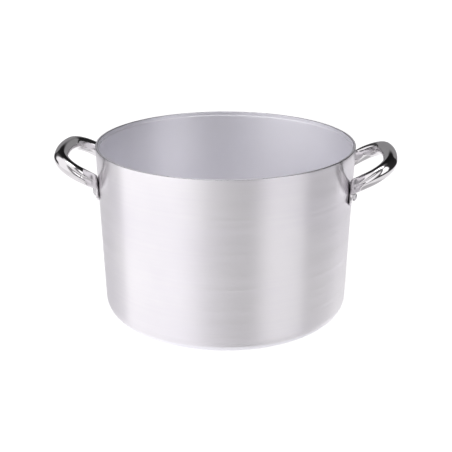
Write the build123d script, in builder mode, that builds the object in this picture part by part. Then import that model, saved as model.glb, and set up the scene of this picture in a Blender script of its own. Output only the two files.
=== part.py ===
from build123d import *
import math
import os

# A stock pot: a spun aluminium body with two riveted handles of polished steel tube.
# Millimetres, +Z up. The origin is the centre of the underside, and the handles lie along X.

# ---- driving dimensions ----

# Body
RIM_RADIUS = 143.0  # outside, at the very top
BASE_RADIUS = 137.0  # outside, where the wall's line would meet the table
POT_HEIGHT = 194.0
WALL = 3.6
BASE_THICKNESS = 4.5
OUTER_BASE_FILLET = 18.0
INNER_BASE_FILLET = 15.0
LID_SEAT_RADIUS = 140.1  # the straight lip that a lid drops into
LID_SEAT_DEPTH = 4.5
RIM_ROUND = 0.8

# Handle loop, in its own sloping plane: U runs out from the wall, V runs along the wall
TUBE_RADIUS = 8.0
TUBE_WALL = 1.4
LOOP_SLOPE = 28.0  # degrees that the loop climbs away from the pot
LOOP_ORIGIN = (136.7, 0.0, 158.7)
LEG_HALF_SPAN = 48.1
LEG_SPLAY = 4.5  # degrees that each leg leans outwards
BEND_RADIUS = 27.5
GRIP_HALF_ANGLE = 10.0  # the grip is a shallow arc of twice this angle
GRIP_REACH = 49.6  # U of the middle of the grip
CRUSH_START = 17.0  # U where the round tube begins to flatten

# Handle feet: the flattened tube end, folded inwards along the wall
STRAP_WIDTH = 25.0
STRAP_THICKNESS = 3.2
STRAP_SLOPE = 30.0
FOLD_OFFSET = 47.6  # distance of the fold from the handle's middle plane
FOLD_HEIGHT = 153.7
STRAP_END_OFFSET = 21.0
STRAP_END_ROUND = 9.0
FOLD_ROUND = 5.0
BAND_BELOW_FOLD = 45.0  # the band of wall that holds every strap whole
BAND_ABOVE_FOLD = 30.0

# Rivets: two along each strap
SHANK_RADIUS = 3.0
HEAD_RADIUS = 4.8
HEAD_HEIGHT = 3.2
INNER_HEAD_RADIUS = 5.5
INNER_HEAD_HEIGHT = 1.4
HEAD_EDGE = 0.9  # straight rim under the dome
INNER_HEAD_EDGE = 0.7
INNER_HEAD_FLAT = 4.4
HEAD_BITE = 0.6  # how deep a head's blank starts inside the plates, before it is trimmed to them
RIVET_END_MARGIN = 6.6  # from the strap's end to the first rivet
RIVET_PITCH = 12.0

# ---- worked-out values ----

TAPER = math.degrees(math.atan2(RIM_RADIUS - BASE_RADIUS, POT_HEIGHT))
STRAP_FALL = math.tan(math.radians(STRAP_SLOPE))


def outer_radius(height):
    return BASE_RADIUS + (RIM_RADIUS - BASE_RADIUS) * height / POT_HEIGHT


def inner_radius(height):
    return outer_radius(height) - WALL / math.cos(math.radians(TAPER))


def strap_centre_height(offset):
    """Height of the strap's centre line at this distance from the handle's middle plane."""
    return FOLD_HEIGHT - (FOLD_OFFSET - offset) * STRAP_FALL


def wall_plane(offset, height):
    """Plane on the outside of the wall, its Z straight out and its X along the wall."""
    radius = outer_radius(height)
    azimuth = math.asin(offset / radius)
    tilt = math.radians(TAPER)
    outwards = (
        math.cos(tilt) * math.cos(azimuth),
        math.cos(tilt) * math.sin(azimuth),
        -math.sin(tilt),
    )
    along = (-math.sin(azimuth), math.cos(azimuth), 0.0)
    origin = (radius * math.cos(azimuth), offset, height)
    return Plane(origin=origin, x_dir=along, z_dir=outwards)


ALONG_STRAP = math.cos(math.radians(STRAP_SLOPE))
RIVET_OFFSETS = {
    "lower": STRAP_END_OFFSET + RIVET_END_MARGIN * ALONG_STRAP,
    "upper": STRAP_END_OFFSET + (RIVET_END_MARGIN + RIVET_PITCH) * ALONG_STRAP,
}
FOOT_SIDES = {"a": 1, "b": -1}
HANDLE_TURNS = {"right": 0, "left": 180}
RIVET_PLANES = {
    f"{foot}_{level}": wall_plane(side * offset, strap_centre_height(offset))
    for foot, side in FOOT_SIDES.items()
    for level, offset in RIVET_OFFSETS.items()
}

os.makedirs("parts", exist_ok=True)


def write(piece, name):
    piece.part.label = name
    export_step(piece.part, f"parts/{name}.step")


# ---- shared cutting shapes ----

# Everything inside the outer face of the wall, for trimming what meets it
with BuildPart() as inside_of_wall:
    with BuildSketch(Plane.XZ):
        with BuildLine():
            Polyline(
                (0, 0),
                (BASE_RADIUS, 0),
                (RIM_RADIUS, POT_HEIGHT),
                (0, POT_HEIGHT),
                close=True,
            )
        make_face()
    revolve(axis=Axis.Z)

# A round shell that holds the straps: as thick as a strap, and lying on the wall
STRAP_BAND = (FOLD_HEIGHT - BAND_BELOW_FOLD, FOLD_HEIGHT + BAND_ABOVE_FOLD)
with BuildPart() as strap_shell:
    with BuildSketch(Plane.XZ):
        with BuildLine():
            Polyline(
                (outer_radius(STRAP_BAND[0]), STRAP_BAND[0]),
                (outer_radius(STRAP_BAND[0]) + STRAP_THICKNESS, STRAP_BAND[0]),
                (outer_radius(STRAP_BAND[1]) + STRAP_THICKNESS, STRAP_BAND[1]),
                (outer_radius(STRAP_BAND[1]), STRAP_BAND[1]),
                close=True,
            )
        make_face()
    revolve(axis=Axis.Z)

# The same band with the pot's wall included: all that a rivet clamps
with BuildPart() as clamped_shell:
    with BuildSketch(Plane.XZ):
        with BuildLine():
            Polyline(
                (inner_radius(STRAP_BAND[0]), STRAP_BAND[0]),
                (outer_radius(STRAP_BAND[0]) + STRAP_THICKNESS, STRAP_BAND[0]),
                (outer_radius(STRAP_BAND[1]) + STRAP_THICKNESS, STRAP_BAND[1]),
                (inner_radius(STRAP_BAND[1]), STRAP_BAND[1]),
                close=True,
            )
        make_face()
    revolve(axis=Axis.Z)

# ---- rivet shanks, as the drills that make their holes ----

with BuildPart() as right_drills:
    for plane in RIVET_PLANES.values():
        with BuildSketch(plane):
            Circle(SHANK_RADIUS)
        extrude(amount=2 * STRAP_THICKNESS)
        with BuildSketch(plane):
            Circle(SHANK_RADIUS)
        extrude(amount=-2 * WALL)

# ---- pot body ----

with BuildPart() as pot_body:
    with BuildSketch(Plane.XZ) as wall_profile:
        with BuildLine():
            Polyline(
                (0, 0),
                (BASE_RADIUS, 0),
                (RIM_RADIUS, POT_HEIGHT),
                (LID_SEAT_RADIUS, POT_HEIGHT),
                (LID_SEAT_RADIUS, POT_HEIGHT - LID_SEAT_DEPTH),
                (inner_radius(POT_HEIGHT - LID_SEAT_DEPTH), POT_HEIGHT - LID_SEAT_DEPTH),
                (inner_radius(BASE_THICKNESS), BASE_THICKNESS),
                (0, BASE_THICKNESS),
                close=True,
            )
        make_face()
        base_corner = wall_profile.vertices().sort_by_distance((BASE_RADIUS, 0))[0]
        fillet(base_corner, OUTER_BASE_FILLET)
        floor_edge = (inner_radius(BASE_THICKNESS), BASE_THICKNESS)
        floor_corner = wall_profile.vertices().sort_by_distance(floor_edge)[0]
        fillet(floor_corner, INNER_BASE_FILLET)
        fillet(wall_profile.vertices().group_by(Axis.Y)[-1], RIM_ROUND)
    revolve(axis=Axis.Z)
    for turn in HANDLE_TURNS.values():
        add(right_drills.part, rotation=(0, 0, turn), mode=Mode.SUBTRACT)
write(pot_body, "pot_body")

# ---- handles ----

# The loop's plane: X climbs away from the wall, Y runs along the wall, Z is the loop's upper side
SLOPE = math.radians(LOOP_SLOPE)
LOOP_PLANE = Plane(
    origin=LOOP_ORIGIN,
    x_dir=(math.cos(SLOPE), 0, math.sin(SLOPE)),
    z_dir=(-math.sin(SLOPE), 0, math.cos(SLOPE)),
)
SPLAY = math.radians(LEG_SPLAY)
GRIP_HALF = math.radians(GRIP_HALF_ANGLE)
BEND_TURN = 90 + LEG_SPLAY - GRIP_HALF_ANGLE


def leg_offset(reach):
    """V of the leg's straight centre line at this U."""
    return LEG_HALF_SPAN + reach * math.tan(SPLAY)


def bend_centre(leg_end):
    """Centre of the bend that leaves the leg at this U."""
    return (
        leg_end + BEND_RADIUS * math.sin(SPLAY),
        leg_offset(leg_end) - BEND_RADIUS * math.cos(SPLAY),
    )


def grip_radius(leg_end):
    return BEND_RADIUS + bend_centre(leg_end)[1] / math.sin(GRIP_HALF)


def grip_reach(leg_end):
    """U of the middle of the grip, for a leg of this length."""
    radius = grip_radius(leg_end)
    return bend_centre(leg_end)[0] - (radius - BEND_RADIUS) * math.cos(GRIP_HALF) + radius


# The reach grows almost evenly with the leg's length, so a few corrections settle it
CORRECTIONS = 4
LEG_END = GRIP_REACH - BEND_RADIUS
for _ in range(CORRECTIONS):
    LEG_END += GRIP_REACH - grip_reach(LEG_END)


def leg_plane(reach, drop=0.0, shift=0.0):
    """Plane square to the leg at this U, its X pointing away from the loop's middle, its Y up."""
    origin = LOOP_PLANE.from_local_coords((reach, leg_offset(reach) - shift, -drop))
    direction = LOOP_PLANE.from_local_coords((math.cos(SPLAY), math.sin(SPLAY), 0)) - LOOP_PLANE.origin
    across = LOOP_PLANE.from_local_coords((-math.sin(SPLAY), math.cos(SPLAY), 0)) - LOOP_PLANE.origin
    return Plane(origin=origin, x_dir=across, z_dir=direction)


# Sections of the tube as it is crushed towards the wall: U, half thickness, half height, shift
# towards the loop's middle. Each keeps the tube's top line, so a taller section also hangs lower.
CRUSH_SECTIONS = (
    (CRUSH_START, TUBE_RADIUS, TUBE_RADIUS, 0.0),
    (CRUSH_START - 2, TUBE_RADIUS, TUBE_RADIUS, 0.0),
    (9.0, 6.4, 8.6, 0.5),
    (3.0, 4.4, 9.5, 1.2),
    (-3.0, 2.6, 11.0, 2.0),
    (-9.0, 2.2, 11.6, 2.4),
)

HOLLOW_SECTIONS = 4  # sections that still have a hollow; beyond them the walls touch

with BuildPart() as half_handle:
    # Round tube: the rest of the leg, the bend and half of the grip
    with BuildLine(LOOP_PLANE) as tube_path:
        leg = Line((CRUSH_START, leg_offset(CRUSH_START)), (LEG_END, leg_offset(LEG_END)))
        bend = JernArc(leg @ 1, leg % 1, BEND_RADIUS, -BEND_TURN)
        grip = JernArc(bend @ 1, bend % 1, grip_radius(LEG_END), -GRIP_HALF_ANGLE)
    with BuildSketch(leg_plane(CRUSH_START)):
        Circle(TUBE_RADIUS)
    sweep(path=tube_path.wire())
    # Flattened end of the leg
    for reach, half_thickness, half_height, shift in CRUSH_SECTIONS:
        with BuildSketch(leg_plane(reach, half_height - TUBE_RADIUS, shift)):
            Ellipse(half_thickness, half_height)
    loft()
    # The tube is hollow as far as it is still open
    with BuildSketch(leg_plane(CRUSH_START)):
        Circle(TUBE_RADIUS - TUBE_WALL)
    sweep(path=tube_path.wire(), mode=Mode.SUBTRACT)
    for reach, half_thickness, half_height, shift in CRUSH_SECTIONS[:HOLLOW_SECTIONS]:
        with BuildSketch(leg_plane(reach, half_height - TUBE_RADIUS, shift)):
            Ellipse(half_thickness - TUBE_WALL, half_height - TUBE_WALL)
    loft(mode=Mode.SUBTRACT)
    add(inside_of_wall.part, mode=Mode.SUBTRACT)

# The strap's outline, drawn on a plane that touches the wall at the middle of the foot
STRAP_MIDDLE = (STRAP_END_OFFSET + FOLD_OFFSET) / 2
FOOT_PLANE = wall_plane(STRAP_MIDDLE, FOLD_HEIGHT)
FOOT_TURN = math.asin(STRAP_MIDDLE / outer_radius(FOLD_HEIGHT))


def across_foot(offset):
    """Distance along the foot plane of a point on the wall at this offset."""
    azimuth = math.asin(offset / outer_radius(FOLD_HEIGHT))
    return outer_radius(FOLD_HEIGHT) * math.sin(azimuth - FOOT_TURN)


HALF_RISE = STRAP_WIDTH / 2 / ALONG_STRAP
FOLD_X = across_foot(FOLD_OFFSET)
END_X = across_foot(STRAP_END_OFFSET)
END_Y = strap_centre_height(STRAP_END_OFFSET) - FOLD_HEIGHT
END_STEP_X = STRAP_WIDTH / 2 * math.sin(math.radians(STRAP_SLOPE))
END_STEP_Y = STRAP_WIDTH / 2 * ALONG_STRAP
with BuildPart() as foot:
    with BuildSketch(FOOT_PLANE) as strap_outline:
        with BuildLine():
            Polyline(
                (FOLD_X, HALF_RISE),
                (FOLD_X, -HALF_RISE),
                (END_X + END_STEP_X, END_Y - END_STEP_Y),
                (END_X - END_STEP_X, END_Y + END_STEP_Y),
                close=True,
            )
        make_face()
        fold_corners = strap_outline.vertices().group_by(Axis.X)[-1]
        fillet(fold_corners, FOLD_ROUND)
        end_corners = strap_outline.vertices().sort_by(Axis.X)[:2]
        fillet(end_corners, STRAP_END_ROUND)
    extrude(amount=3 * STRAP_THICKNESS, both=True)
    add(strap_shell.part, mode=Mode.INTERSECT)

with BuildPart() as right_loop:
    add(half_handle.part)
    add(foot.part)
    mirror(about=Plane.XZ)
    add(right_drills.part, mode=Mode.SUBTRACT)

for side, turn in HANDLE_TURNS.items():
    with BuildPart() as handle:
        add(right_loop.part, rotation=(0, 0, turn))
    write(handle, f"{side}_handle")

# ---- rivets ----

DOME_HEIGHT = HEAD_HEIGHT - HEAD_EDGE
DOME_RADIUS = (HEAD_RADIUS**2 + DOME_HEIGHT**2) / (2 * DOME_HEIGHT)
DOME_TURN = math.degrees(math.asin(HEAD_RADIUS / DOME_RADIUS))

# A rivet's outline, X out from its axis and Y out from the wall. Each head starts inside the
# plates and is trimmed to their curved faces.
for place, plane in RIVET_PLANES.items():
    profile_plane = Plane(
        origin=plane.origin,
        x_dir=plane.x_dir,
        z_dir=plane.x_dir.cross(plane.z_dir),
    )
    with BuildPart() as right_rivet:
        with BuildSketch(profile_plane):
            with BuildLine():
                top = (0, STRAP_THICKNESS + HEAD_HEIGHT)
                dome = JernArc(top, (1, 0), DOME_RADIUS, -DOME_TURN)
                Polyline(
                    dome @ 1,
                    (HEAD_RADIUS, STRAP_THICKNESS - HEAD_BITE),
                    (0, STRAP_THICKNESS - HEAD_BITE),
                    top,
                )
            make_face()
            with BuildLine():
                Polyline(
                    (0, HEAD_BITE - WALL),
                    (INNER_HEAD_RADIUS, HEAD_BITE - WALL),
                    (INNER_HEAD_RADIUS, -WALL - INNER_HEAD_EDGE),
                    (INNER_HEAD_FLAT, -WALL - INNER_HEAD_HEIGHT),
                    (0, -WALL - INNER_HEAD_HEIGHT),
                    close=True,
                )
            make_face()
        revolve(axis=Axis(plane.origin, plane.z_dir))
        add(clamped_shell.part, mode=Mode.SUBTRACT)
        with BuildSketch(plane):
            Circle(SHANK_RADIUS)
        extrude(amount=STRAP_THICKNESS + HEAD_EDGE)
        with BuildSketch(plane):
            Circle(SHANK_RADIUS)
        extrude(amount=-WALL - INNER_HEAD_EDGE)
    for side, turn in HANDLE_TURNS.items():
        with BuildPart() as rivet:
            add(right_rivet.part, rotation=(0, 0, turn))
        write(rivet, f"{side}_rivet_{place}")
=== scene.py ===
"""A stock pot: a spun aluminium body with two riveted handles of polished steel tube.

Metres, +Z up. The handles lie along X, and the camera stands on the -Y side. The right handle is
modelled on the +X side, and the left one is the same, turned half round the pot.
"""

import math

import bmesh
import bpy
from mathutils import Matrix, Vector


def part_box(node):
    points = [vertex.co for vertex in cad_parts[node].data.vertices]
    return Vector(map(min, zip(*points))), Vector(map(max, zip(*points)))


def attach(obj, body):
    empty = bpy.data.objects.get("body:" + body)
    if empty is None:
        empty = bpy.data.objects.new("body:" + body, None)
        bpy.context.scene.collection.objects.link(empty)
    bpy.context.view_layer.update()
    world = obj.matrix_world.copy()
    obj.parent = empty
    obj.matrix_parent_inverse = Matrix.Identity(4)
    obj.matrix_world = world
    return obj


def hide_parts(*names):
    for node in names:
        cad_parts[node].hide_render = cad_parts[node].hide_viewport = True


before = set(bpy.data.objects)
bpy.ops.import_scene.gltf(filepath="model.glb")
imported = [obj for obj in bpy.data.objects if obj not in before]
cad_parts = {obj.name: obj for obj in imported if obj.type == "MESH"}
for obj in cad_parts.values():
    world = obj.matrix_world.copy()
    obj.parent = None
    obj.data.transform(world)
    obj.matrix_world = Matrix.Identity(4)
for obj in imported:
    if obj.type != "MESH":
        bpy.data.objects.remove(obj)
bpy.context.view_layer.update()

MM = 0.001

# ---- the pot's dimensions, in metres ----

POT_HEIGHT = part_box("pot_body")[1].z
RIM_RADIUS = 142.9 * MM
BASE_RADIUS = 136.9 * MM  # where the wall's line would meet the table
WALL = 3.6 * MM
BASE_THICKNESS = 4.5 * MM
OUTER_BASE_FILLET = 18.0 * MM
INNER_BASE_FILLET = 15.0 * MM
LID_SEAT_RADIUS = 140.1 * MM
LID_SEAT_DEPTH = 4.5 * MM
RIM_ROUND = 0.9 * MM
SEAT_ROUND = 0.35 * MM
TAPER = math.atan2(RIM_RADIUS - BASE_RADIUS, POT_HEIGHT)
AROUND = 288  # facets round the pot
FLAT_STEPS = 40  # steps of its section along the floor and the underside
WALL_STEPS = 50
BASE_CORNER_STEPS = 24
FLOOR_CORNER_STEPS = 20
RIM_STEPS = 8
SEAT_STEPS = 4
ON_AXIS = 1e-7  # a section's point nearer to the axis than this lies on it

# The handle loop, in its own sloping plane: U runs out from the wall, V along it
TUBE_RADIUS = 8.0 * MM
LOOP_SLOPE = math.radians(28.0)
LOOP_ORIGIN = Vector((136.7, 0.0, 158.7)) * MM
LEG_HALF_SPAN = 48.1 * MM
LEG_SPLAY = math.radians(4.5)
BEND_RADIUS = 27.5 * MM
GRIP_HALF_ANGLE = math.radians(10.0)
LEG_END = 18.0 * MM  # U where the leg passes into the bend
TUBE_FACETS = 96
GRIP_STEPS = 12
BEND_STEPS = 56
FOOT_STEPS = 110
END_STEPS = 20
END_TIP = 0.01 * MM  # the last section keeps this much height

# The foot: the tube's end, crushed flat and folded inwards along the wall
STRAP_WIDTH = 25.0 * MM
STRAP_THICKNESS = 3.2 * MM
STRAP_SLOPE = math.radians(30.0)
STRAP_END_OFFSET = 21.0 * MM
STRAP_END_ROUND = 9.0 * MM
STRAP_HEIGHT = 153.7 * MM  # where the strap's middle line leaves the fold; its radius is set here
STRAP_INSET = 2.1 * MM  # how far the crushed leg moves towards the loop's middle
FOLD_RADIUS = 4.6 * MM  # of the folded plate's middle line
CRUSH_TOP = -18.0 * MM  # RUN where the top of the tube's outer side begins to flatten
CRUSH_LOW = -2.0 * MM  # and where its bottom does
CRUSH_END = 9.0 * MM  # RUN where the outer side is flat
INNER_LEAD = 6.0 * MM  # how much sooner the loop's inner side is crushed
STANDOFF = 0.3 * MM  # gap between the wall and the strap at its fold, closing along the strap
STANDOFF_LENGTH = 14.0 * MM
LEAN_LENGTH = 8.0 * MM  # the stretch before the fold where the leg takes up the wall's lean
FLATNESS = 0.35  # power that squares off the plate's section
CREASE_START = -32.0 * MM  # RUN where a crease begins in the outer flank of the crushed tube
CREASE_END = 8.0 * MM  # and where it has run out into the strap
CREASE_FADE = 10.0 * MM
CREASE_HIGH = 0.6  # its place on the flank where it starts, as a share of the tube's radius
CREASE_LOW = -0.2  # and where it ends
CREASE_DEPTH = 1.6 * MM
CREASE_WIDTH = 0.17  # as a share of the tube's radius
LOW_CORNER = 9.0 * MM  # RUN where the foot's lower edge begins to widen, inside the fold
WIDENING = 5.0 * MM
CORNER_DIP = 1.5 * MM  # how far the upper edge is drawn down at the fold
DIP_START = -4.0 * MM
DIP_LENGTH = 10.0 * MM


def outer_radius(height):
    return BASE_RADIUS + (RIM_RADIUS - BASE_RADIUS) * height / POT_HEIGHT


def inner_radius(height):
    return outer_radius(height) - WALL / math.cos(TAPER)


def ease(value):
    """0 below 0, 1 above 1, and a smooth step between."""
    share = min(max(value, 0.0), 1.0)
    return share * share * (3.0 - 2.0 * share)


# ---- node helpers ----

NOISE_LOW = 0.3  # a noise keeps mostly between these two
NOISE_HIGH = 0.7
COLOUR_A = 6  # the Mix node's colour sockets, which share their names with its other ones
COLOUR_B = 7
COLOUR_RESULT = 2


class Graph:
    """Short ways to add nodes to a tree and to join them."""

    def __init__(self, tree):
        self.tree = tree
        tree.nodes.clear()

    def add(self, kind, inputs=None, **settings):
        node = self.tree.nodes.new(kind)
        for key, value in settings.items():
            setattr(node, key, value)
        for key, value in (inputs or {}).items():
            self.set(node.inputs[key], value)
        return node

    def set(self, socket, value):
        if isinstance(value, bpy.types.NodeSocket):
            self.tree.links.new(value, socket)
        else:
            socket.default_value = value

    def math(self, operation, *values):
        node = self.add("ShaderNodeMath", operation=operation)
        for socket, value in zip(node.inputs, values):
            self.set(socket, value)
        return node.outputs[0]

    def remap(self, value, low, high, to_low=0.0, to_high=1.0, smooth=False):
        """The value's range from low to high, taken to another range."""
        node = self.add(
            "ShaderNodeMapRange",
            interpolation_type="SMOOTHSTEP" if smooth else "LINEAR",
            inputs={"From Min": low, "From Max": high, "To Min": to_low, "To Max": to_high},
        )
        self.set(node.inputs["Value"], value)
        return node.outputs["Result"]

    def spread(self, noise, low, high):
        """A noise taken to the range from low to high."""
        return self.remap(noise, NOISE_LOW, NOISE_HIGH, low, high)

    def mix(self, factor, first, second):
        node = self.add("ShaderNodeMix", data_type="RGBA")
        self.set(node.inputs["Factor"], factor)
        self.set(node.inputs[COLOUR_A], first)
        self.set(node.inputs[COLOUR_B], second)
        return node.outputs[COLOUR_RESULT]

    def ramp(self, value, stops):
        """A colour ramp with a smooth step from each stop to the next."""
        node = self.add("ShaderNodeValToRGB", inputs={"Fac": value})
        ramp = node.color_ramp
        ramp.interpolation = "EASE"
        while len(ramp.elements) < len(stops):
            ramp.elements.new(0.5)
        for element, (place, colour) in zip(ramp.elements, stops):
            element.position = place
            element.color = (*colour, 1.0)
        return node.outputs["Color"]

    def noise(self, vector, scale, detail=3.0, roughness=0.6):
        node = self.add(
            "ShaderNodeTexNoise",
            inputs={"Vector": vector, "Scale": scale, "Detail": detail, "Roughness": roughness},
        )
        return node.outputs["Fac"]

    def stretch(self, vector, scale):
        """The same coordinates, with each axis scaled by its own number."""
        node = self.add("ShaderNodeMapping", inputs={"Vector": vector, "Scale": scale})
        return node.outputs["Vector"]

    def metal(self, colour, roughness, normal, more=None):
        """A Principled metal as the material's surface, with any more inputs that it needs."""
        inputs = {"Base Color": colour, "Metallic": 1.0, "Roughness": roughness, "Normal": normal}
        inputs.update(more or {})
        shader = self.add("ShaderNodeBsdfPrincipled", inputs=inputs)
        self.add("ShaderNodeOutputMaterial", inputs={"Surface": shader.outputs["BSDF"]})

    def bump(self, height, distance, strength=0.5, normal=None):
        node = self.add("ShaderNodeBump", inputs={"Distance": distance, "Strength": strength})
        self.set(node.inputs["Height"], height)
        if normal is not None:
            self.set(node.inputs["Normal"], normal)
        return node.outputs["Normal"]


def new_material(name):
    material = bpy.data.materials.new(name)
    material.use_nodes = True
    return material, Graph(material.node_tree)


# ---- materials ----

RING_DRIFT = (0.02, 0.02, 1.0)  # how much a turned ring changes round the pot and along its axis
QUARTER_TURN = 0.25  # from along the grain to across it, as a share of a full turn


def turning_grain(graph, strength):
    """Inputs for a grain that runs round the pot and draws its highlights out along the axis."""
    tangent = graph.add("ShaderNodeTangent", direction_type="RADIAL", axis="Z")
    return {
        "Anisotropic": strength,
        "Anisotropic Rotation": QUARTER_TURN,
        "Tangent": tangent.outputs["Tangent"],
    }


def spun_aluminium():
    """Satin aluminium with the fine rings that spinning and turning leave round the pot."""
    material, graph = new_material("spun_aluminium")
    place = graph.add("ShaderNodeTexCoord").outputs["Object"]
    axes = graph.add("ShaderNodeSeparateXYZ", inputs={"Vector": place})
    x_squared = graph.math("MULTIPLY", axes.outputs["X"], axes.outputs["X"])
    y_squared = graph.math("MULTIPLY", axes.outputs["Y"], axes.outputs["Y"])
    radius = graph.math("SQRT", graph.math("ADD", x_squared, y_squared))
    # Across the rings: height on the wall, distance from the axis on the floor and base
    rings = graph.add("ShaderNodeCombineXYZ", inputs={"X": radius, "Z": axes.outputs["Z"]})
    # The same, drifting slowly round the pot, so that no ring is quite whole
    streaks = graph.add("ShaderNodeVectorMath", operation="ADD")
    graph.set(streaks.inputs[0], rings.outputs["Vector"])
    graph.set(streaks.inputs[1], graph.stretch(place, RING_DRIFT))
    streaks = streaks.outputs["Vector"]
    fine = graph.noise(streaks, scale=1500.0)
    broad = graph.noise(streaks, scale=140.0, roughness=0.55)
    cloud = graph.noise(place, scale=9.0, roughness=0.5)
    ring_share = 0.35
    tone = graph.math("MULTIPLY_ADD", graph.math("SUBTRACT", broad, 0.5), ring_share, cloud)
    colour = graph.ramp(tone, [(NOISE_LOW, (0.90, 0.88, 0.915)), (NOISE_HIGH, (0.96, 0.945, 0.96))])
    both = graph.math("ADD", fine, broad)
    roughness = graph.remap(both, low=0.7, high=1.3, to_low=0.32, to_high=0.38)
    relief = graph.bump(broad, 0.06 * MM)
    relief = graph.bump(fine, 0.012 * MM, normal=relief)
    graph.metal(colour, roughness, relief, turning_grain(graph, 1.0))
    return material


def turned_interior():
    """The inside of the pot: the same metal, left duller and softer by the turning tool."""
    material, graph = new_material("turned_interior")
    place = graph.add("ShaderNodeTexCoord").outputs["Object"]
    cloud = graph.noise(place, scale=9.0, roughness=0.5)
    colour = graph.ramp(cloud, [(NOISE_LOW, (0.92, 0.915, 0.955)), (NOISE_HIGH, (0.96, 0.955, 0.985))])
    grain = graph.noise(graph.stretch(place, RING_DRIFT), scale=900.0)
    more = {"Metallic": 0.65, **turning_grain(graph, 0.7)}
    graph.metal(colour, graph.spread(grain, 0.52, 0.60), graph.bump(grain, 0.02 * MM), more)
    return material


def rim_marks_and_painted_shade():
    """The cut and rounded edges of the rim: duller metal with the marks of the turning tool, darkened
    in colour as painted shade for the dark line that the rim shows.
    """
    material, graph = new_material("rim_marks_and_painted_shade")
    place = graph.add("ShaderNodeTexCoord").outputs["Object"]
    marks = graph.noise(place, scale=400.0)
    # A far darker colour than the body's metal: painted shade for the rim's dark line; the noise in it
    # is the tool marks.
    colour = graph.ramp(marks, [(NOISE_LOW, (0.50, 0.49, 0.52)), (NOISE_HIGH, (0.62, 0.61, 0.64))])
    graph.metal(colour, graph.spread(marks, 0.38, 0.46), graph.bump(marks, 0.02 * MM))
    return material


def polished_steel():
    """Bright tube steel, with the faint drag of the polishing wheel and slightly softer patches."""
    material, graph = new_material("polished_steel")
    place = graph.add("ShaderNodeTexCoord").outputs["Object"]
    smears = graph.noise(place, scale=60.0, roughness=0.5)
    scratches = graph.noise(graph.stretch(place, (4.0, 1.0, 4.0)), scale=700.0, detail=2.0)
    colour = graph.ramp(smears, [(0.35, (0.70, 0.685, 0.69)), (NOISE_HIGH, (0.76, 0.75, 0.755))])
    relief = graph.bump(scratches, 0.004 * MM, strength=0.6)
    graph.metal(colour, graph.spread(smears, 0.03, 0.07), relief)
    return material


def rivet_steel():
    """Rivet heads: pressed steel, a little duller than the tube, with the marks of the setting tool."""
    material, graph = new_material("rivet_steel")
    place = graph.add("ShaderNodeTexCoord").outputs["Object"]
    grain = graph.noise(place, scale=500.0, detail=4.0)
    colour = graph.ramp(grain, [(NOISE_LOW, (0.54, 0.53, 0.54)), (NOISE_HIGH, (0.66, 0.65, 0.66))])
    graph.metal(colour, graph.spread(grain, 0.28, 0.38), graph.bump(grain, 0.04 * MM))
    return material


def pale_floor():
    """A plain pale table that also gives a soft light of its own."""
    material, graph = new_material("pale_floor")
    place = graph.add("ShaderNodeTexCoord").outputs["Object"]
    mottle = graph.noise(place, scale=12.0, roughness=0.5)
    colour = graph.ramp(mottle, [(NOISE_LOW, (0.29, 0.29, 0.29)), (NOISE_HIGH, (0.31, 0.31, 0.31))])
    shader = graph.add(
        "ShaderNodeBsdfPrincipled",
        inputs={
            "Base Color": colour,
            "Roughness": 0.9,
            "Emission Color": (1.0, 1.0, 1.0, 1.0),
            "Emission Strength": 0.88,
        },
    )
    graph.add("ShaderNodeOutputMaterial", inputs={"Surface": shader.outputs["BSDF"]})
    return material


# ---- mesh helpers ----


def arc(centre, radius, start, end, steps):
    """Points of an arc in a profile, by its angles in degrees."""
    points = []
    for i in range(steps + 1):
        angle = math.radians(start + (end - start) * i / steps)
        points.append((centre[0] + radius * math.cos(angle), centre[1] + radius * math.sin(angle)))
    return points


def line(start, end, steps):
    """Points along a straight stretch of a profile, without its two ends."""
    return [
        (start[0] + (end[0] - start[0]) * i / steps, start[1] + (end[1] - start[1]) * i / steps)
        for i in range(1, steps)
    ]


def lathe(name, profile, facets):
    """A closed body of revolution about Z. The profile starts and ends on the axis."""
    mesh = bmesh.new()
    rings = []
    for radius, height in profile:
        if radius < ON_AXIS:
            rings.append([mesh.verts.new((0.0, 0.0, height))])
            continue
        turns = [2.0 * math.pi * i / facets for i in range(facets)]
        rings.append(
            [mesh.verts.new((radius * math.cos(t), radius * math.sin(t), height)) for t in turns]
        )
    skin(mesh, rings)
    return finish_mesh(name, mesh)


def skin(mesh, rings):
    """Faces between rings that follow each other; a ring of one vertex closes an end."""
    for below, above in zip(rings, rings[1:]):
        count = max(len(below), len(above))
        for i in range(count):
            j = (i + 1) % count
            corners = [below[i % len(below)], below[j % len(below)]]
            corners += [above[j % len(above)], above[i % len(above)]]
            unique = list(dict.fromkeys(corners))
            if len(unique) > 2:
                mesh.faces.new(unique)


def finish_mesh(name, mesh):
    """The mesh as a smooth-shaded object in the scene."""
    bmesh.ops.recalc_face_normals(mesh, faces=mesh.faces)
    data = bpy.data.meshes.new(name)
    mesh.to_mesh(data)
    mesh.free()
    data.polygons.foreach_set("use_smooth", [True] * len(data.polygons))
    piece = bpy.data.objects.new(name, data)
    bpy.context.scene.collection.objects.link(piece)
    return piece


# ---- pot body ----

OUTSIDE = 0  # the body's material slots
INSIDE = 1
EDGE = 2
RIM_EDGE = 0.7 * RIM_ROUND  # the rim's painted shade, its darker edge, reaches this far down
FACES_UP = 0.97  # a face whose normal rises this much is flat


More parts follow.
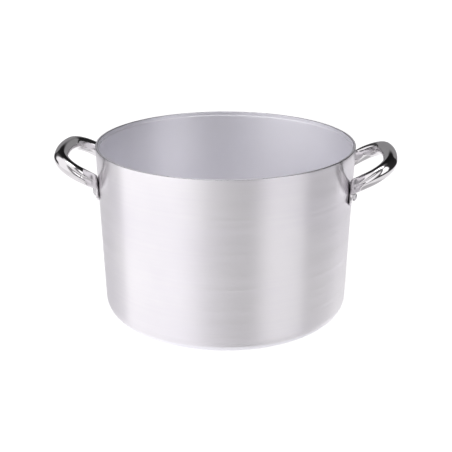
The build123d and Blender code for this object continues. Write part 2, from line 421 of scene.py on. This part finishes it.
def body_profile():
    """The wall's section from the middle of the underside, over the rim, to the middle of the floor."""
    tilt = math.degrees(TAPER)
    # Outer base corner: an arc that touches the underside and the leaning wall
    base_centre = (
        outer_radius(OUTER_BASE_FILLET) - OUTER_BASE_FILLET / math.cos(TAPER),
        OUTER_BASE_FILLET,
    )
    seat = POT_HEIGHT - LID_SEAT_DEPTH
    floor_height = BASE_THICKNESS + INNER_BASE_FILLET
    floor_centre = (
        inner_radius(floor_height) - INNER_BASE_FILLET / math.cos(TAPER),
        floor_height,
    )
    rim_outer = (outer_radius(POT_HEIGHT) - RIM_ROUND, POT_HEIGHT - RIM_ROUND)
    rim_inner = (LID_SEAT_RADIUS + RIM_ROUND, POT_HEIGHT - RIM_ROUND)
    step_outer = (LID_SEAT_RADIUS - SEAT_ROUND, seat + SEAT_ROUND)
    step_inner = (inner_radius(seat) + SEAT_ROUND, seat - SEAT_ROUND)
    outer_corner = arc(base_centre, OUTER_BASE_FILLET, -90, -tilt, BASE_CORNER_STEPS)
    rim = arc(rim_outer, RIM_ROUND, -tilt, 90, RIM_STEPS)
    rim += arc(rim_inner, RIM_ROUND, 90, 180, RIM_STEPS)
    seat_step = arc(step_outer, SEAT_ROUND, 0, -90, SEAT_STEPS)
    seat_step += arc(step_inner, SEAT_ROUND, 90, 180, SEAT_STEPS)
    floor_corner = arc(floor_centre, INNER_BASE_FILLET, -tilt, -90, FLOOR_CORNER_STEPS)
    profile = [(0.0, 0.0)]
    profile += line((0.0, 0.0), outer_corner[0], FLAT_STEPS)
    profile += outer_corner
    profile += line(outer_corner[-1], rim[0], WALL_STEPS)
    profile += rim
    profile += line(rim[-1], seat_step[0], SEAT_STEPS)
    profile += seat_step
    profile += line(seat_step[-1], floor_corner[0], WALL_STEPS)
    profile += floor_corner
    profile += line(floor_corner[-1], (0.0, BASE_THICKNESS), FLAT_STEPS)
    profile += [(0.0, BASE_THICKNESS)]
    return profile


def shade_body(piece):
    """Duller metal inside and on the flat of the rim, and painted shade on the rim's roundings: a
    darker edge colour there.
    """
    piece.data.materials.append(turned_interior())
    piece.data.materials.append(rim_marks_and_painted_shade())
    for face in piece.data.polygons:
        middle = face.center
        wall_middle = outer_radius(middle.z) - WALL / 2
        if middle.z > POT_HEIGHT - RIM_EDGE:
            face.material_index = INSIDE if face.normal.z > FACES_UP else EDGE
        elif middle.z > BASE_THICKNESS / 2 and middle.xy.length < wall_middle:
            face.material_index = INSIDE
        else:
            face.material_index = OUTSIDE


# ---- handles ----

AXIS_OUT = Vector((math.cos(LOOP_SLOPE), 0.0, math.sin(LOOP_SLOPE)))
AXIS_ALONG = Vector((0.0, 1.0, 0.0))
AXIS_UP = Vector((-math.sin(LOOP_SLOPE), 0.0, math.cos(LOOP_SLOPE)))
LEG_OUT = AXIS_OUT * math.cos(LEG_SPLAY) + AXIS_ALONG * math.sin(LEG_SPLAY)
LEG_RISE = math.asin(LEG_OUT.z)
LEG_LEVEL = Vector((LEG_OUT.x, LEG_OUT.y)).normalized()
LEG_SIDE = Vector((-LEG_LEVEL.y, LEG_LEVEL.x))
TURNS = [2.0 * math.pi * i / TUBE_FACETS for i in range(TUBE_FACETS)]


def leg_offset(reach):
    return LEG_HALF_SPAN + reach * math.tan(LEG_SPLAY)


BEND_CENTRE = Vector(
    (
        LEG_END + BEND_RADIUS * math.sin(LEG_SPLAY),
        leg_offset(LEG_END) - BEND_RADIUS * math.cos(LEG_SPLAY),
    )
)
GRIP_RADIUS = BEND_RADIUS + BEND_CENTRE.y / math.sin(GRIP_HALF_ANGLE)
GRIP_CENTRE = Vector(
    (BEND_CENTRE.x - (GRIP_RADIUS - BEND_RADIUS) * math.cos(GRIP_HALF_ANGLE), 0.0)
)


def loop_ring(centre, radius, angle, section):
    """The tube's section where the loop bends about this centre, or the grip bows about it."""
    out = Vector((math.cos(angle), math.sin(angle)))
    ring = []
    for depth, rise in section:
        flat = centre + out * (radius + depth - STRAP_INSET)
        ring.append(LOOP_ORIGIN + AXIS_OUT * flat.x + AXIS_ALONG * flat.y + AXIS_UP * rise)
    return ring


# The foot is drawn unfolded: RUN is measured along the flattened tube from the start of the fold,
# RISE across it, and DEPTH through it, outwards from the loop. A level line then wraps it round
# the fold and along the wall.
STRAP_LINE_RADIUS = outer_radius(STRAP_HEIGHT) + STRAP_THICKNESS / 2
FOLD_TRACK = STRAP_LINE_RADIUS + FOLD_RADIUS
leg_start = Vector((LOOP_ORIGIN.x, LEG_HALF_SPAN)) - LEG_SIDE * STRAP_INSET
offset_start = leg_start - LEG_SIDE * FOLD_RADIUS
along = offset_start.dot(LEG_LEVEL)
reach_to_fold = -along + math.sqrt(along**2 - offset_start.length_squared + FOLD_TRACK**2)
FOLD_START = leg_start + LEG_LEVEL * reach_to_fold
FOLD_CENTRE = FOLD_START - LEG_SIDE * FOLD_RADIUS
FOLD_FIRST = math.atan2(LEG_SIDE.y, LEG_SIDE.x)
FOLD_LAST = math.pi + math.atan2(FOLD_CENTRE.y, FOLD_CENTRE.x)
FOLD_LENGTH = (FOLD_LAST - FOLD_FIRST) * FOLD_RADIUS
FOLD_AZIMUTH = math.atan2(FOLD_CENTRE.y, FOLD_CENTRE.x)
FOLD_AXIS_HEIGHT = LOOP_ORIGIN.z + reach_to_fold * math.tan(LEG_RISE)
END_AZIMUTH = math.asin(STRAP_END_OFFSET / outer_radius(STRAP_HEIGHT))
EXTRA_FALL = math.tan(STRAP_SLOPE) - math.tan(LEG_RISE)  # the strap falls more steeply than the leg
LEVEL_END = FOLD_LENGTH + (FOLD_AZIMUTH - END_AZIMUTH) * STRAP_LINE_RADIUS
STRAP_RISE = TUBE_RADIUS - STRAP_WIDTH / 2  # RISE of the strap's middle
RUN_END = (LEVEL_END - STRAP_RISE * math.sin(LEG_RISE)) / math.cos(LEG_RISE)
LEG_POINT = LOOP_ORIGIN + AXIS_OUT * LEG_END + AXIS_ALONG * leg_offset(LEG_END)
RUN_START = -(LEG_POINT.xy - FOLD_START).dot(LEG_LEVEL) / math.cos(LEG_RISE)


def wrap(run, rise, depth):
    """The place in the frame of a point of the unfolded foot."""
    level = run * math.cos(LEG_RISE) + rise * math.sin(LEG_RISE)
    height = FOLD_AXIS_HEIGHT - run * math.sin(LEG_RISE) + rise * math.cos(LEG_RISE)
    height -= EXTRA_FALL * max(level - FOLD_LENGTH / 2, 0.0)
    # The wall leans, so what lies on it moves out as it rises
    lean = outer_radius(height) - outer_radius(STRAP_HEIGHT)
    lean += STANDOFF * (1.0 - ease((level - FOLD_LENGTH) / STANDOFF_LENGTH))
    lean *= ease(level / LEAN_LENGTH + 1.0)
    if level <= 0.0:
        place = FOLD_START - LEG_LEVEL * level + LEG_SIDE * depth
    elif level <= FOLD_LENGTH:
        angle = FOLD_FIRST + level / FOLD_RADIUS
        place = FOLD_CENTRE + Vector((math.cos(angle), math.sin(angle))) * (FOLD_RADIUS + depth)
    else:
        azimuth = FOLD_AZIMUTH - (level - FOLD_LENGTH) / STRAP_LINE_RADIUS
        place = Vector((math.cos(azimuth), math.sin(azimuth))) * (STRAP_LINE_RADIUS - depth)
    place = place + place.normalized() * lean
    return Vector((place.x, place.y, height))


def plate_edges(run):
    """RISE of the flat plate's lower and upper edge at this RUN."""
    low = -TUBE_RADIUS - (STRAP_WIDTH - 2 * TUBE_RADIUS) * ease((run - LOW_CORNER) / WIDENING)
    high = TUBE_RADIUS - CORNER_DIP * ease((run - DIP_START) / DIP_LENGTH)
    corner = run - (RUN_END - STRAP_END_ROUND)
    if corner > 0.0:
        cut = STRAP_END_ROUND - math.sqrt(max(STRAP_END_ROUND**2 - corner**2, 0.0))
        low += cut
        high -= cut
    return low, high


def crease(run, up):
    """How deep the crease lies at this RUN and place on the flank."""
    share = (run - CREASE_START) / (CREASE_END - CREASE_START)
    middle = CREASE_HIGH + (CREASE_LOW - CREASE_HIGH) * share
    fade = ease((run - CREASE_START) / CREASE_FADE) * ease((CREASE_END - run) / CREASE_FADE)
    return CREASE_DEPTH * fade * math.exp(-(((up - middle) / CREASE_WIDTH) ** 2))


def crushed_section(run):
    """DEPTH and RISE round the tube: a circle in the loop, flattened from the top down to a plate.

    DEPTH is measured from the middle of the plate, which lies inside the tube's own middle line.
    """
    low, high = plate_edges(run)
    section = []
    for turn in TURNS:
        side = math.cos(turn)
        up = math.sin(turn)
        lead = INNER_LEAD * (1.0 - side) / 2
        start = CRUSH_TOP + (CRUSH_LOW - CRUSH_TOP) * (1.0 - up) / 2
        share = ease((run + lead - start) / (CRUSH_END - start))
        flat_depth = math.copysign(abs(side) ** FLATNESS, side) * STRAP_THICKNESS / 2
        flat_rise = (high + low) / 2 + (high - low) / 2 * up
        depth = TUBE_RADIUS * side + STRAP_INSET
        pressed = crease(run, up) if side > 0.0 else 0.0
        rise = TUBE_RADIUS * up
        depth += (flat_depth - depth) * share - pressed
        section.append((depth, rise + (flat_rise - rise) * share))
    return section


def foot_runs():
    """Where the foot has its sections: evenly to the rounded end, then closer and closer."""
    round_start = RUN_END - STRAP_END_ROUND
    runs = [RUN_START + (round_start - RUN_START) * i / FOOT_STEPS for i in range(1, FOOT_STEPS)]
    for i in range(END_STEPS + 1):
        turn = i / END_STEPS * math.pi / 2
        runs.append(round_start + (STRAP_END_ROUND - END_TIP) * math.sin(turn))
    return runs


def handle(name, turn):
    """One bent tube from foot to foot, turned this far about the pot's axis."""
    half = []
    round_tube = crushed_section(min(CRUSH_TOP - INNER_LEAD, CREASE_START))
    for i in range(GRIP_STEPS):
        angle = GRIP_HALF_ANGLE * i / GRIP_STEPS
        half.append(loop_ring(GRIP_CENTRE, GRIP_RADIUS, angle, round_tube))
    last = math.pi / 2 + LEG_SPLAY
    for i in range(BEND_STEPS + 1):
        angle = GRIP_HALF_ANGLE + (last - GRIP_HALF_ANGLE) * i / BEND_STEPS
        section = crushed_section(RUN_START - BEND_RADIUS * (last - angle))
        half.append(loop_ring(BEND_CENTRE, BEND_RADIUS, angle, section))
    half += [[wrap(run, rise, depth) for depth, rise in crushed_section(run)] for run in foot_runs()]
    mirrored = [[Vector((p.x, -p.y, p.z)) for p in ring] for ring in reversed(half[1:])]
    mesh = bmesh.new()
    spin = Matrix.Rotation(turn, 3, "Z")
    rings = [[mesh.verts.new(spin @ p) for p in ring] for ring in mirrored + half]
    for ends in (rings[0], rings[-1]):
        mesh.faces.new(ends)
    skin(mesh, rings)
    return finish_mesh(name, mesh)


# ---- rivets ----

HEAD_RADIUS = 4.8 * MM
HEAD_HEIGHT = 3.2 * MM
HEAD_EDGE = 0.7 * MM
SHANK_RADIUS = 3.0 * MM
INNER_HEAD_RADIUS = 5.5 * MM
INNER_HEAD_HEIGHT = 1.4 * MM
INNER_HEAD_ROUND = 0.8 * MM
HEAD_SINK = 0.3 * MM  # a set head beds a little into what it holds
HEAD_UNDERCUT = 0.15 * MM  # how much narrower the outer head is where it meets the strap
RIVET_FACETS = 48
DOME_STEPS = 14
HEAD_ROUND_STEPS = 6


def rivet(name, node):
    """A rivet through the strap and the wall, with a domed head outside and a flat one inside."""
    low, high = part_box(node)
    middle = (low + high) / 2
    height = middle.z
    azimuth = math.atan2(middle.y, middle.x)
    seat = STRAP_THICKNESS - HEAD_SINK
    dome_height = HEAD_HEIGHT - HEAD_EDGE
    dome_radius = (HEAD_RADIUS**2 + dome_height**2) / (2 * dome_height)
    dome_turn = math.degrees(math.asin(HEAD_RADIUS / dome_radius))
    top = STRAP_THICKNESS + HEAD_HEIGHT
    inside = -WALL + HEAD_SINK
    inner_top = -WALL - INNER_HEAD_HEIGHT
    inner_edge = (INNER_HEAD_RADIUS - INNER_HEAD_ROUND, inner_top + INNER_HEAD_ROUND)
    profile = arc((0.0, top - dome_radius), dome_radius, 90, 90 - dome_turn, DOME_STEPS)
    profile += [(HEAD_RADIUS, STRAP_THICKNESS + HEAD_EDGE / 2), (HEAD_RADIUS - HEAD_UNDERCUT, seat)]
    profile += [(SHANK_RADIUS, seat), (SHANK_RADIUS, inside), (INNER_HEAD_RADIUS, inside)]
    profile += arc(inner_edge, INNER_HEAD_ROUND, 0, -90, HEAD_ROUND_STEPS)
    profile += [(INNER_HEAD_RADIUS / 2, inner_top), (0.0, inner_top)]
    piece = lathe(name, profile, RIVET_FACETS)
    out = Vector(
        (
            math.cos(TAPER) * math.cos(azimuth),
            math.cos(TAPER) * math.sin(azimuth),
            -math.sin(TAPER),
        )
    )
    radius = outer_radius(height)
    place = Vector((radius * math.cos(azimuth), radius * math.sin(azimuth), height))
    turn = out.to_track_quat("Z", "Y").to_matrix().to_4x4()
    piece.data.transform(Matrix.Translation(place) @ turn)
    return piece


# ---- surroundings ----

# The studio's brightness by azimuth in degrees, in bands from below to above. Azimuth 0 is the
# camera's side, and the right is positive.
UNDERNEATH = [(-180, 1.1), (-50, 1.1), (-5, 0.7), (25, 0.55), (125, 0.6), (155, 1.0), (180, 1.1)]
TABLE = [
    (-180, 1.15), (-110, 1.05), (-60, 1.0), (-10, 1.06), (60, 1.04), (108, 1.0), (135, 1.25),
    (180, 1.2),
]
HORIZON = [
    (-180, 0.3), (-146, 0.3), (-140, 0.04), (-102, 0.06), (-90, 1.25), (-46, 1.25), (-4, 0.25),
    (8, 0.1), (32, 0.06), (84, 0.06), (96, 0.03), (144, 0.03), (150, 0.3), (180, 0.3),
]
LOW_WALL = [
    (-180, 0.3), (-146, 0.3), (-140, 0.03), (-126, 0.06), (-108, 1.25), (-44, 1.25), (-2, 0.25),
    (6, 0.1), (36, 0.08), (46, 1.6), (72, 1.6), (82, 0.03), (144, 0.03), (150, 0.3), (180, 0.3),
]
HIGH_WALL = [
    (-180, 0.012), (-150, 0.02), (-128, 0.12), (-110, 1.25), (-30, 1.25), (2, 0.3), (30, 0.1),
    (40, 1.6), (76, 1.6), (86, 0.03), (180, 0.012),
]
CEILING = [(-180, 0.3), (-130, 1.2), (-10, 1.2), (20, 0.4), (90, 0.1), (150, 0.1), (180, 0.3)]
ZENITH = [(-180, 4.0), (180, 4.0)]
# The elevations between which each band takes over from the one below it
TAKEOVERS = [
    (-50.0, -38.0, TABLE),
    (-12.0, -6.0, HORIZON),
    (8.0, 13.0, LOW_WALL),
    (17.0, 23.0, HIGH_WALL),
    (60.0, 72.0, CEILING),
    (74.0, 82.0, ZENITH),
]
GREEN_TINT = 0.985  # the light's green and blue, as shares of its red
BLUE_TINT = 1.01

FLOOR_SIZE = 6.0
FLOOR_SEGMENTS = 8

CAMERA_TARGET = Vector((0.0005, 0.0, 0.0944))
CAMERA_DISTANCE = 1.1
CAMERA_AZIMUTH = math.radians(3.75)
CAMERA_ELEVATION = math.radians(20.17)
CAMERA_LENS = 76.85  # millimetres, as is the sensor's width
CAMERA_SENSOR = 36.0


def studio():
    """Soft light all round, dark between the lights: white to the camera, and a pattern of soft
    boxes, backdrop and table for what the metal reflects."""
    world = bpy.data.worlds.new("studio")
    bpy.context.scene.world = world
    world.use_nodes = True
    graph = Graph(world.node_tree)
    direction = graph.add("ShaderNodeTexCoord").outputs["Generated"]
    axes = graph.add("ShaderNodeSeparateXYZ", inputs={"Vector": direction})
    towards_camera = graph.math("MULTIPLY", axes.outputs["Y"], -1.0)
    azimuth = graph.math("ARCTAN2", axes.outputs["X"], towards_camera)
    side = graph.remap(azimuth, -math.pi, math.pi)
    elevation = graph.math("MULTIPLY", graph.math("ARCSINE", axes.outputs["Z"]), math.degrees(1.0))

    def band(stops):
        placed = []
        for degrees, value in stops:
            tinted = (value, value * GREEN_TINT, value * BLUE_TINT)
            placed.append(((degrees + 180.0) / 360.0, tinted))
        return graph.ramp(side, placed)

    colour = band(UNDERNEATH)
    for low, high, stops in TAKEOVERS:
        share = graph.remap(elevation, low, high, smooth=True)
        colour = graph.mix(share, colour, band(stops))
    seen = graph.add("ShaderNodeLightPath").outputs["Is Camera Ray"]
    colour = graph.mix(seen, colour, (1.0, 1.0, 1.0, 1.0))
    background = graph.add("ShaderNodeBackground", inputs={"Color": colour, "Strength": 1.0})
    graph.add("ShaderNodeOutputWorld", inputs={"Surface": background.outputs[0]})


def add_floor():
    mesh = bmesh.new()
    bmesh.ops.create_grid(
        mesh, x_segments=FLOOR_SEGMENTS, y_segments=FLOOR_SEGMENTS, size=FLOOR_SIZE
    )
    floor = finish_mesh("floor", mesh)
    floor.data.materials.append(pale_floor())
    floor.visible_glossy = False


def add_camera():
    back = Vector(
        (
            math.sin(CAMERA_AZIMUTH) * math.cos(CAMERA_ELEVATION),
            -math.cos(CAMERA_AZIMUTH) * math.cos(CAMERA_ELEVATION),
            math.sin(CAMERA_ELEVATION),
        )
    )
    data = bpy.data.cameras.new("camera")
    data.lens = CAMERA_LENS
    data.sensor_width = CAMERA_SENSOR
    data.clip_start = 0.01
    data.clip_end = 50.0
    camera = bpy.data.objects.new("camera", data)
    camera.location = CAMERA_TARGET + back * CAMERA_DISTANCE
    camera.rotation_mode = "QUATERNION"
    camera.rotation_quaternion = (-back).to_track_quat("-Z", "Y")
    bpy.context.scene.collection.objects.link(camera)
    bpy.context.scene.camera = camera


# ---- the scene ----


def place_piece(piece, material, node):
    """Let the piece stand for this CAD node, in this material."""
    piece.data.materials.append(material)
    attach(piece, "root")
    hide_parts(node)


add_camera()
studio()
add_floor()
bpy.context.scene.view_settings.view_transform = "Standard"

body = lathe("spun_body", body_profile(), AROUND)
place_piece(body, spun_aluminium(), "pot_body")
shade_body(body)

steel = polished_steel()
rivet_metal = rivet_steel()
for side, turn in (("right", 0.0), ("left", math.pi)):
    place_piece(handle(f"{side}_tube_handle", turn), steel, f"{side}_handle")
    for place in ("a_lower", "a_upper", "b_lower", "b_upper"):
        node = f"{side}_rivet_{place}"
        place_piece(rivet(f"{side}_set_rivet_{place}", node), rivet_metal, node)
